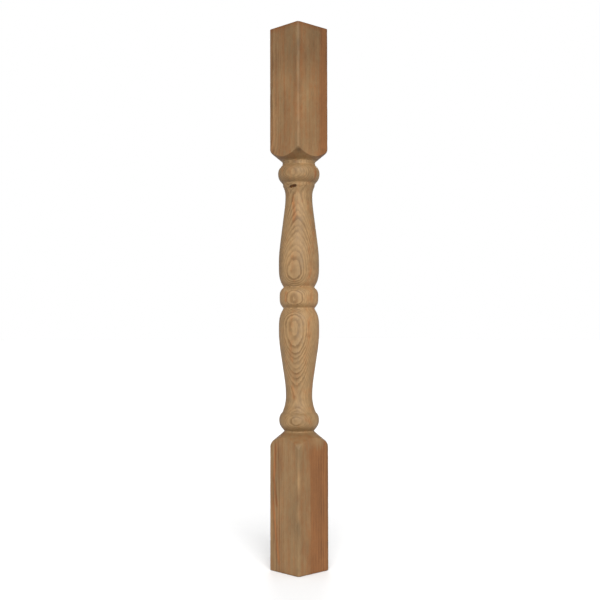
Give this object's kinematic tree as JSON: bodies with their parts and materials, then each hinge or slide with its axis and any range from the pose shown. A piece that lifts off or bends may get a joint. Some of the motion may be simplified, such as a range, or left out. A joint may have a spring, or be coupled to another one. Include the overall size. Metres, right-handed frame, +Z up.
{
  "type": "wood spindle",
  "caption": "Turned wood spindle with square ends and beads, coves and opposed vase shapes between them, for a porch or stair railing.",
  "frame": {"origin": "middle of the lower square end, where the spindle stands", "axes": "+Z up along the turning axis; the flats of the square ends face +X, -X, +Y and -Y"},
  "size_m": [0.0636, 0.0636, 0.813],
  "materials": {
    "wood": "lightly sealed, warm brown softwood with visible growth rings, satin to matt"
  },
  "bodies": {
    "root": {"spindle": "wood"}
  },
  "joints": []
}
